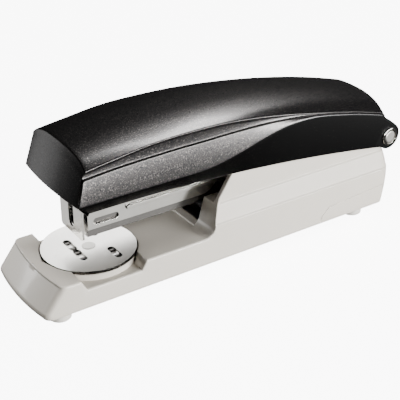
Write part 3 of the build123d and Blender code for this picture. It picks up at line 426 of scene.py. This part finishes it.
def coverEar():
    # Round ear at one side: a flat outline with a rolled edge, filled from its middle.
    cx, cz = cover["earCentre"]
    turn = np.radians(np.linspace(52, -112, 40))
    arc = np.stack([cx + cover["earRadius"] * np.cos(turn), cz + cover["earRadius"] * np.sin(turn)], axis=-1)
    hemX = np.linspace(68.0, 58.0, 6)
    low = np.stack([hemX, hemHeight(hemX) + 0.06], axis=-1)
    high = np.array([(58.0, 39.0), (69.2, 39.2), (70.2, 38.4), (72.1, 37.1), (74.0, 35.7)])
    corners = np.concatenate([arc, low, high])
    gap = np.r_[0, np.cumsum(np.hypot(*np.diff(np.vstack([corners, corners[:1]]), axis=0).T))]
    along = np.linspace(0, gap[-1], 160, endpoint=False)
    closed = np.vstack([corners, corners[:1]])
    outline = np.stack([np.interp(along, gap, closed[:, i]) for i in (0, 1)], axis=-1)
    middle = np.array((67.5, 32.5))
    away = outline - middle
    away /= np.linalg.norm(away, axis=1)[:, None]
    rows = []
    outside = 17.6
    # an inset of this much means the middle point itself
    whole = 99
    flatSteps = [(whole, outside), (6, outside), (3, outside), (1, outside), (0.3, outside)]
    edgeSteps = [(0.15, 17.56), (0.04, 17.47), (0, 17.3), (0, 16.8)]
    edgeSteps += [(0.1, 16.58), (0.3, 16.55), (whole, 16.55)]
    for inset, y in flatSteps + edgeSteps:
        ring = outline - away * inset if inset < whole else np.broadcast_to(middle, outline.shape)
        level = y - np.where(y > 17.4, 0.09, 0) * (1 - softStep(ring[:, 0], 60, 67.5))
        rows.append(np.stack([ring[:, 0], level, ring[:, 1]], axis=-1))
    return np.stack(rows)


def buildCover():
    shape = Shape()
    outer = coverSheet(outerKeys, 0.0, 0.0, 0.5, cover["rearWallLowZ"])
    inner = coverSheet(innerKeys, cover["frontWall"], cover["rearWall"], 0.3, cover["rearWallLowZ"])
    columns = outer.shape[1] - 1
    half = columns // 2
    # painted shade: the lower band of the outer skin takes the plain near-black finish in place of the pearl
    skirt = np.abs(np.arange(columns) + 0.5 - half) > half - coverSteps[-1] - coverSteps[-2] // 2 - 1
    skirtRows = (np.arange(outer.shape[0] - 1) > 11)[:, None]
    shape.addGrid(outer, marks=skirtRows & skirt[None, :])
    shape.addGrid(inner, flip=True)
    rimBetween(shape, outer, inner)
    ear = coverEar()
    # painted shade: the ears take the same plain near-black finish in place of the pearl
    plain = np.ones((ear.shape[0] - 1, ear.shape[1]))
    shape.addGrid(ear, closeColumns=True, marks=plain)
    shape.addGrid(ear * (1, -1, 1), closeColumns=True, flip=True, marks=plain)
    skins = [finishes["cover_plastic"], finishes["skirt_painted_shade"]]
    return makePiece("handleCover", shape, "handle", ["top_cover"], "cover_plastic", skins, smoothAngle=40)


coverPiece = buildCover()
print("cover built")


# Base shell

base = {
    "half": ((-9.0, 18.8), (17.3, 18.8), (17.8, 18.2), (24.1, 16.85), (24.7, 16.2), (60.0, 16.2)),
    "lineRound": 0.12,
    "noseLine": ((0.0, -74.9), (2.5, -76.6), (4.2, -77.7), (13.6, -70.4), (20.0, -65.4)), "noseRound": 1.0,
    "noseCorner": 2.6, "noseBow": 88.0, "bottom": 2.5, "topRound": 0.75, "bottomRound": 0.5,
    "rearX": 75.1, "rearMidZ": 14.0, "rearCurve": (0.0189, 0.02545),
    "rearCornerX": 69.1, "rearCornerY": 12.8,
    "innerRearX": 70.8, "innerFrontX": -66.0, "innerHalf": 17.0, "upperInner": 14.5,
    "wellX": -49.55, "wellRadius": 17.1, "slotHalf": 8.6,
    "seamX": 39.4, "seamZ": ((39.4, 5.2), (42.8, 8.6), (75.1, 10.8)), "seamDepth": 0.4, "seamHalf": 0.22,
}

# along the side: x, top, shelf, pit inside the step, centre edge, underside
baseStations = (
    (-62.2, 13.6, 13.6, 9.8, 0.0, 7.8), (-60.1, 9.8, 9.8, 9.8, 0.0, 7.8),
    (-39.4, 9.8, 9.8, 9.8, 0.0, 7.8), (-37.3, 13.2, 13.2, 9.8, 0.0, 7.8), (-36.3, 13.2, 13.2, 9.8, 0.0, 7.8),
    (-36.3, 13.2, 13.2, 9.8, 0.0, 11.2), (-32.4, 13.2, 13.2, 9.8, 0.0, 11.2),
    (-32.4, 13.2, 13.2, 13.2, 0.0, 11.2), (-13.8, 13.2, 13.2, 13.2, 0.0, 11.2),
    (-12.6, 13.36, 13.36, 13.2, 0.0, 11.2), (-11.8, 13.67, 13.67, 13.2, 0.0, 11.2),
    (-11.8, 13.67, 13.67, 13.8, 0.0, 11.2), (-10.9, 14.24, 14.24, 13.8, 0.0, 11.2),
    (-10.1, 15.17, 15.17, 13.8, 0.0, 11.2), (-9.55, 16.23, 16.23, 13.8, 0.0, 11.2),
    (-9.3, 17.6, 17.6, 13.8, 0.0, 11.2), (-8.6, 20.07, 20.07, 13.8, 0.0, 11.2),
    (-8.6, 20.07, 20.07, 11.2, 8.6, 11.2), (-7.45, 24.1, 24.0, 11.2, 8.6, 11.2),
    (-7.3, 24.45, 24.0, 11.2, 8.6, 11.2),
    (-7.3, 24.45, 24.0, 16.2, 8.6, 16.2), (-2.0, 32.64, 24.0, 16.2, 8.6, 16.2),
    (-2.0, 32.64, 16.25, 16.2, 14.5, 16.2), (-0.6, 34.8, 16.25, 16.2, 14.5, 16.2),
    (39.0, 34.8, 16.25, 16.2, 14.5, 16.2), (39.4, 34.8, 16.25, 16.2, 14.5, 16.2),
    (39.8, 34.8, 16.25, 16.2, 14.5, 16.2), (69.1, 34.8, 16.25, 16.2, 14.5, 16.2),
)


def splitStations(stations, longest):
    # Stations with more between them wherever they are further apart than the longest step.
    table = np.array(stations)
    rows = [table[:1]]
    for first, last in zip(table[:-1], table[1:]):
        steps = max(1, int(np.ceil((last[0] - first[0]) / longest)))
        rows.append(first + (last - first) * np.linspace(0, 1, steps + 1)[1:, None])
    return np.concatenate(rows)


def buildBaseShell():
    # Half the plan outline runs from the nose's middle round to the rear's middle.
    #
    # Every column is a place on that outline and every row a step of the section: under the rim, up the
    # outside, over the rounded top, across the deck, down its step, under the deck and down inside.
    seamX, seamHalf = base["seamX"], base["seamHalf"]
    side = splitStations(baseStations, 1.6)
    nose = np.linspace(0, 1, 14)
    turn = np.radians(np.linspace(0, 90, 8))[1:]
    join = np.linspace(0, 1, 6)[1:-1]
    rearTurn = np.radians(np.linspace(0, 90, 12))[1:]
    rear = np.linspace(0, 1, 10)[1:]
    counts = [len(nose), len(turn), len(join), len(side), len(rearTurn), len(rear)]
    kind = np.repeat(np.arange(6), counts)
    share = np.concatenate([nose, turn, join, side[:, 0], rearTurn, rear])
    front, last = side[0].copy(), side[-1].copy()
    noseFacts = np.repeat(front[None], sum(counts[:3]), 0)
    facts = np.concatenate([noseFacts, side, np.repeat(last[None], sum(counts[4:]), 0)])
    top, shelf, pit, centreY, under = facts[:, 1:].T.copy()

    def halfWidth(z):
        return softLine(z, base["half"], base["lineRound"])

    def planPoint(z):
        # Outline at height z: bowed nose, its corner, the straight side, the rear corner and the rear.
        half = halfWidth(z)
        noseX = softLine(z, base["noseLine"], base["noseRound"])
        radius = base["noseCorner"]
        reach = half - radius
        cornerX = noseX + reach ** 2 / (2 * base["noseBow"]) + radius
        low, high = base["rearCurve"]
        rearX = base["rearX"] - np.where(z < base["rearMidZ"], low, high) * (z - base["rearMidZ"]) ** 2
        rx, ry = base["rearCornerX"], base["rearCornerY"]
        isKind = [kind == k for k in range(6)]
        bowX = noseX + (share * reach) ** 2 / (2 * base["noseBow"])
        joinX = cornerX + (side[0, 0] - cornerX) * share
        x = np.select(isKind, [bowX, cornerX - radius * np.cos(share), joinX, share,
                               rx + (rearX - rx) * np.sin(share), rearX])
        y = np.select(isKind, [share * reach, reach + radius * np.sin(share), half, half,
                            ry + (half - ry) * np.cos(share), ry * (1 - share)])
        return x, y

    atTop = planPoint(np.minimum(top, 30.0))
    behind = (kind >= 4) & (atTop[0] > 72.3)
    top = np.where(behind, 24.3, top)
    radius = base["topRound"]
    inside = kind >= 4
    topX, topY = planPoint(top - radius)
    targetX = np.where(kind < 2, -70.2 + 3.0 * np.arange(len(kind)) / (counts[0] + counts[1]), topX)
    joinRamp = -67.2 + (side[0, 0] + 67.2) * share
    targetX = np.where(kind == 2, joinRamp, targetX)
    stepX = np.where(inside, base["innerRearX"], topX)
    stepY = np.minimum(base["upperInner"], topY)
    ahead = kind < 3
    stepX = np.where(ahead, topX + (targetX - topX) * 0.2, stepX)
    stepY = np.where(ahead, topY * 0.8, stepY)
    stepX = np.where(inside & (topX < base["innerRearX"]), topX, stepX)

    # where the line from the outline to its target on the middle line enters the round well
    lineX, lineY = targetX - topX, -topY
    ox, oy = topX - base["wellX"], topY
    qa = lineX ** 2 + lineY ** 2
    qb = 2 * (ox * lineX + oy * lineY)
    qc = ox ** 2 + oy ** 2 - base["wellRadius"] ** 2
    root = qb ** 2 - 4 * qa * qc
    enters = np.where(root > 0, (-qb - np.sqrt(np.maximum(root, 0))) / np.maximum(2 * qa, 1e-9), 2.0)
    enters = np.where((enters > 0) & (enters < 1), enters, 0.999)
    inSlot = (kind == 3) & (topX > -13.9)
    pitX = np.where(inSlot, topX, topX + lineX * enters)
    pitY = np.where(inSlot, base["slotHalf"], topY + lineY * enters)
    noWell = (enters > 0.998) & ~inSlot
    pit = np.where(noWell, shelf, pit)
    isCavity = centreY > 14.0
    pitX = np.where(isCavity, stepX, pitX)
    pitY = np.where(isCavity, stepY, pitY)
    stepX = np.where(isCavity | inSlot, stepX, topX + (pitX - topX) * 0.5)
    stepY = np.where(isCavity | inSlot, stepY, topY + (pitY - topY) * 0.5)
    centreX = np.where(isCavity, stepX, np.where(ahead, targetX, topX))
    centreY = np.where(isCavity, stepY, centreY)
    roomX = np.clip(topX, base["innerFrontX"], base["innerRearX"])
    roomY = np.minimum(base["innerHalf"], topY)

    rows = []

    def wall(z, inset):
        x, y = planPoint(z)
        away = np.maximum(np.hypot(x - centreX, y), 1e-6)
        rows.append(np.stack([x + (centreX - x) * inset / away, y * (1 - inset / away), z], axis=-1))

    low = base["bottom"]
    zero = np.zeros(len(kind))
    rows.append(np.stack([roomX, roomY, zero + low], axis=-1))
    for angle in np.radians((0, 30, 60, 90)):
        r = base["bottomRound"]
        wall(zero + low + r * (1 - np.cos(angle)), r * (1 - np.sin(angle)))
    seam = np.interp(topX, *zip(*base["seamZ"]))
    isCap = topX > seamX - 0.05
    onLine = (np.abs(topX - seamX) < 0.05) & (kind == 3)
    shareDown = (0.35, 0.7)
    for part in shareDown:
        wall(low + 0.6 + (seam - seamHalf - low - 0.6) * part, np.where(onLine, base["seamDepth"], 0.0))
    wall(seam - seamHalf, np.where(onLine, base["seamDepth"], 0.0))
    wall(seam, np.where(isCap, base["seamDepth"], 0.0))
    wall(seam + seamHalf, zero)
    limit = top - radius
    levels = [12.0, 14.5, 16.6] + list(np.linspace(17.1, 18.1, 12)) + [20.0, 22.0]
    levels += list(np.linspace(23.9, 24.9, 12)) + [28.0, 32.0]
    for level in levels:
        wall(np.maximum(np.minimum(level, limit), np.minimum(seam + seamHalf + 0.05, limit)), zero)
    for angle in np.radians((0, 18, 36, 54, 72, 90)):
        x, y = planPoint(limit)
        away = np.hypot(centreX - x, y)
        away = np.maximum(away, 1e-6)
        inset = radius * (1 - np.cos(angle))
        height = limit + radius * np.sin(angle)
        rows.append(np.stack([x + (centreX - x) * inset / away, y * (1 - inset / away), height], axis=-1))
    rows.append(np.stack([stepX, stepY, top], axis=-1))
    rows.append(np.stack([stepX, stepY, np.minimum(shelf, top)], axis=-1))
    rows.append(np.stack([pitX, pitY, np.minimum(shelf, top)], axis=-1))
    rows.append(np.stack([pitX, pitY, pit], axis=-1))
    rows.append(np.stack([(pitX + centreX) / 2, (pitY + centreY) / 2, pit], axis=-1))
    rows.append(np.stack([centreX, centreY, pit], axis=-1))
    rows.append(np.stack([centreX, centreY, under], axis=-1))
    rows.append(np.stack([roomX, roomY, under], axis=-1))
    grid = np.stack(rows)
    shape = Shape()
    shape.addGrid(grid, closeRows=True)
    shape.addGrid(grid * (1, -1, 1), closeRows=True, flip=True)
    for sideSign in (1, -1):
        ring = np.linspace(0, 2 * np.pi, 48, endpoint=False)
        eyeX, eyeZ = cover["earCentre"]
        eye = []
        for r, y in ((0.0, 16.2), (4.2, 16.2), (4.6, 15.9), (4.6, 14.8), (4.2, 14.5), (0.0, 14.5)):
            turned = [eyeX + r * np.cos(ring), 0 * ring + y * sideSign, eyeZ + r * np.sin(ring)]
            eye.append(np.stack(turned, axis=-1))
        shape.addGrid(np.stack(eye), closeColumns=True, flip=sideSign < 0)
    return makePiece("baseShell", shape, "base", ["base_shell", "rear_cap"], "base_plastic", smoothAngle=32)


basePiece = buildBaseShell()
print("base built")


# Anvil disc

disc = {
    "x": -49.55, "radius": 16.65, "top": 13.6, "bottom": 12.4, "edge": 0.12, "bore": 2.06,
    "pocketHalfLength": 2.6, "pocketHalfWidth": 1.35, "pocketDepth": 0.6,
    "clinch": (-5.2, 3.75), "pinning": (5.4, 8.6),
}


def buildDisc():
    # A turned disc: rings from the bore out over the top and back below.
    #
    # Each pocket lowers the top by a bowl: its depth times a soft step of the distance to a short line,
    # with a raised bead down the middle that splits the two legs' paths.
    turn = np.linspace(0, 2 * np.pi, 480, endpoint=False)
    flat = np.linspace(disc["bore"], disc["radius"] - disc["edge"], 110)
    angle = np.radians(np.linspace(0, 90, 5))[1:]
    rolled = flat[-1] + disc["edge"] * np.sin(angle)
    radius = np.concatenate([flat, rolled, [disc["radius"], flat[-1], disc["bore"]]])
    height = np.concatenate([0 * flat + disc["top"], disc["top"] - disc["edge"] * (1 - np.cos(angle)),
                             [disc["bottom"] + 0.15, disc["bottom"], disc["bottom"]]])
    x = radius[:, None] * np.cos(turn)
    y = radius[:, None] * np.sin(turn)
    z = height[:, None] + 0 * x
    ring = np.arange(len(radius))[:, None]
    # painted shade: the bore's edge and the rim, side and underside rings take the dark finish
    paintedShade = (ring < 2) | (ring >= len(flat)) & (z > 0)
    onTop = (np.arange(len(radius)) < len(flat))[:, None]
    for px, py in (disc["clinch"], disc["pinning"]):
        for side in (-1, 1):
            along = np.maximum(np.abs(y - side * py) - disc["pocketHalfLength"], 0)
            distance = np.hypot(x - px, along)
            bowl = 1 - softStep(distance, 0.55 * disc["pocketHalfWidth"], disc["pocketHalfWidth"])
            bead = 0.75 + 0.25 * np.cos((y - side * py) * 1.5)
            z = z - onTop * disc["pocketDepth"] * bowl * bead
            # painted shade in each pocket's bowl; the middle strip keeps the disc's own finish
            bright = (bowl > 0.9) & (np.abs(y - side * py) < 1.0)
            paintedShade |= onTop & (bowl > 0.03) & ~bright
    shape = Shape()
    shape.addGrid(np.stack([x + disc["x"], y, z], axis=-1), closeRows=True, closeColumns=True, marks=paintedShade)
    skins = [finishes["disc_steel"], finishes["painted_shade_steel"]]
    return makePiece("anvilDisc", shape, "anvil", ["anvil_disc"], "nickel_steel", skins, smoothAngle=50)


discPiece = buildDisc()
print("disc built")


# Coil springs in place of the plain spring nodes

# node: its body, its joint, axis number (0 along X, 2 along Z), wire, turns, travel taken up and fixed end
springs = {
    "pusher_spring": ("magazine", "pusher_slide", 0, 0.35, 34, 30.0, 1),
    "anvil_spring": ("anvil_lifter", "anvil_lift", 2, 0.5, 3, 1.2, 0),
}


def buildSpring(node):
    # A round wire on a helix: the angle runs with the length, and a small circle is set across the wire.
    body, joint, axis, wire, turns, travel, fixedEnd = springs[node]
    low, high = (np.array(corner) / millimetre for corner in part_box(node))
    middle = (low + high) / 2
    across = 0 if axis == 2 else 2
    radius = (high[across] - low[across] - wire) / 2
    t = np.linspace(0, 1, turns * 24 + 1)
    angle = 2 * np.pi * turns * t
    length = high[axis] - low[axis] - wire
    spine = low[axis] + wire / 2 + length * t
    section = np.linspace(0, 2 * np.pi, 10, endpoint=False)
    thick = np.concatenate([[0.0], np.full(len(t), wire / 2), [0.0]])[:, None]
    angle = np.concatenate([angle[:1], angle, angle[-1:]])[:, None]
    spine = np.concatenate([spine[:1], spine, spine[-1:]])[:, None]
    ring = radius + thick * np.cos(section)
    along = spine + thick * np.sin(section)
    columns = {axis: along, 1: ring * np.sin(angle) + middle[1]}
    columns[across] = ring * np.cos(angle) + middle[across]
    shape = Shape()
    shape.addGrid(np.stack([columns[k] for k in range(3)], axis=-1), closeColumns=True)
    piece = makePiece(node + "Coil", shape, body, [node], "spring_steel")
    anchor = Vector(middle * millimetre)
    anchor[axis] = (low, high)[fixedEnd][axis] * millimetre
    direction = Vector((0, 0, 0))
    direction[axis] = 1.0
    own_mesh(piece)


for springNode in springs:
    buildSpring(springNode)
print("springs built")


# Finishes of the plain nodes

ownFinish = {"anvil_stud": "stud_steel", "hinge_pin": "stud_steel", "staple_channel": "channel_steel"}
slotOf = {entry["node"]: entry["material_slot"] for entry in frame["record"]["subparts"]}
for nodeName, nodeObject in nodes.items():
    nodeObject.data.materials.clear()
    nodeObject.data.materials.append(finishes[ownFinish.get(nodeName, slotOf[nodeName])])
print("finishes set")


# Floor, light and camera

studio = {
    "azimuth": -33.96, "elevation": 28.60, "distance": 348.06, "target": (-3.40, 0.0, 17.40), "lens": 85.7,
    "world": 0.02, "floor": 9.0,
}


def addLight(name, place, aim, sizeMm, power):
    light = bpy.data.lights.new(name, "AREA")
    light.shape = "RECTANGLE"
    light.size, light.size_y = sizeMm[0] * millimetre, sizeMm[1] * millimetre
    light.energy = power
    lamp = bpy.data.objects.new(name, light)
    lamp.location = Vector(place) * millimetre
    lamp.rotation_euler = (Vector(place) - Vector(aim)).to_track_quat("Z", "Y").to_euler()
    lamp.visible_camera = False
    bpy.context.scene.collection.objects.link(lamp)
    return lamp


def addCamera():
    a, e = math.radians(studio["azimuth"]), math.radians(studio["elevation"])
    back = Vector((math.sin(a) * math.cos(e), -math.cos(a) * math.cos(e), math.sin(e)))
    camera = bpy.data.objects.new("camera", bpy.data.cameras.new("camera"))
    camera.location = (Vector(studio["target"]) + back * studio["distance"]) * millimetre
    camera.rotation_euler = back.to_track_quat("Z", "Y").to_euler()
    camera.data.lens = studio["lens"]
    camera.data.sensor_width = 36.0
    camera.data.clip_start = 0.01
    bpy.context.scene.collection.objects.link(camera)
    bpy.context.scene.camera = camera


def addFloor():
    # Plain pale sheet that only just catches a shadow.
    finish, tree, shader, place = newFinish("PaleStudioSheet")
    cloud = noiseAt(tree, place, 60.0).outputs["Fac"]
    tree.links.new(mixColours(tree, cloud, "#fbfbfb", "#ffffff"), shader.inputs["Base Color"])
    shader.inputs["Roughness"].default_value = 0.9
    shader.inputs["Specular IOR Level"].default_value = 0.1
    shader.inputs["Emission Color"].default_value = toLinear("#ffffff")
    shader.inputs["Emission Strength"].default_value = studio["floor"]
    mesh = bpy.data.meshes.new("floor")
    mesh.from_pydata([(-3, -3, 0), (3, -3, 0), (3, 3, 0), (-3, 3, 0)], [], [(0, 1, 2, 3)])
    floor = bpy.data.objects.new("floor", mesh)
    floor.location = (0, 0, -0.0001)
    mesh.materials.append(finish)
    bpy.context.scene.collection.objects.link(floor)
    floor.visible_glossy = False
    floor.visible_diffuse = False
    floor.visible_shadow = False


def addWorld():
    world = bpy.data.worlds.new("studioWorld")
    world.use_nodes = True
    tree = world.node_tree
    background = tree.nodes["Background"]
    background.inputs["Color"].default_value = toLinear("#ffffff")
    # pale where the eye sees past the floor, dim in every reflection
    seen = addNode(tree, "ShaderNodeLightPath").outputs["Is Camera Ray"]
    tree.links.new(spread(tree, seen, studio["world"], studio["floor"]), background.inputs["Strength"])
    bpy.context.scene.world = world


addWorld()
addFloor()
lamps = (
    ("sideSoftbox", (230, -620, 60), (0, 0, 20), (700, 120), 17.0),
    ("topSoftbox", (20, 130, 600), (0, 0, 20), (420, 150), 5.0),
    ("crownCard", (190, 75, 430), (0, 0, 50), (190, 190), 3.8),
    ("faceCard", (-205, 270, 15), (-63, 0, 48), (90, 160), 0.07),
    ("edgeCard", (215, -270, 250), (20, -17, 20), (170, 60), 1.1),
    ("tableGlow", (82, -190, -100), (-30, -8, 22), (240, 130), 0.15),
    ("noseGlow", (-160, 146, -76), (-63, 0, 20), (130, 90), 0.05),
    ("noseSoftbox", (-330, 430, 190), (-40, 0, 30), (200, 200), 2.6),
    ("discCard", (24, 110, 86), (-50, 0, 14), (110, 80), 0.16),
)
for lamp in lamps:
    addLight(*lamp)


def lightOnly(lampName, objects):
    # The lamp falls on these objects only, as a card flagged off from the rest would.
    group = bpy.data.collections.new(lampName + "Only")
    for member in objects:
        group.objects.link(member)
    bpy.data.objects[lampName].light_linking.receiver_collection = group


lightOnly("discCard", [discPiece, nodes["anvil_stud"]])
lightOnly("crownCard", [coverPiece])
lightOnly("faceCard", [coverPiece])
lightOnly("edgeCard", [basePiece])
shiny = ("magazine_housing", "nose_plate", "staple_channel", "driver_blade")
lightOnly("noseSoftbox", [basePiece, discPiece] + [nodes[n] for n in nodes if n not in shiny])
for glow in ("tableGlow", "noseGlow"):
    lightOnly(glow, [nodes[n] for n in shiny])
lightOnly("topSoftbox", [basePiece, discPiece] + list(nodes.values()))
addCamera()
print("studio ready")
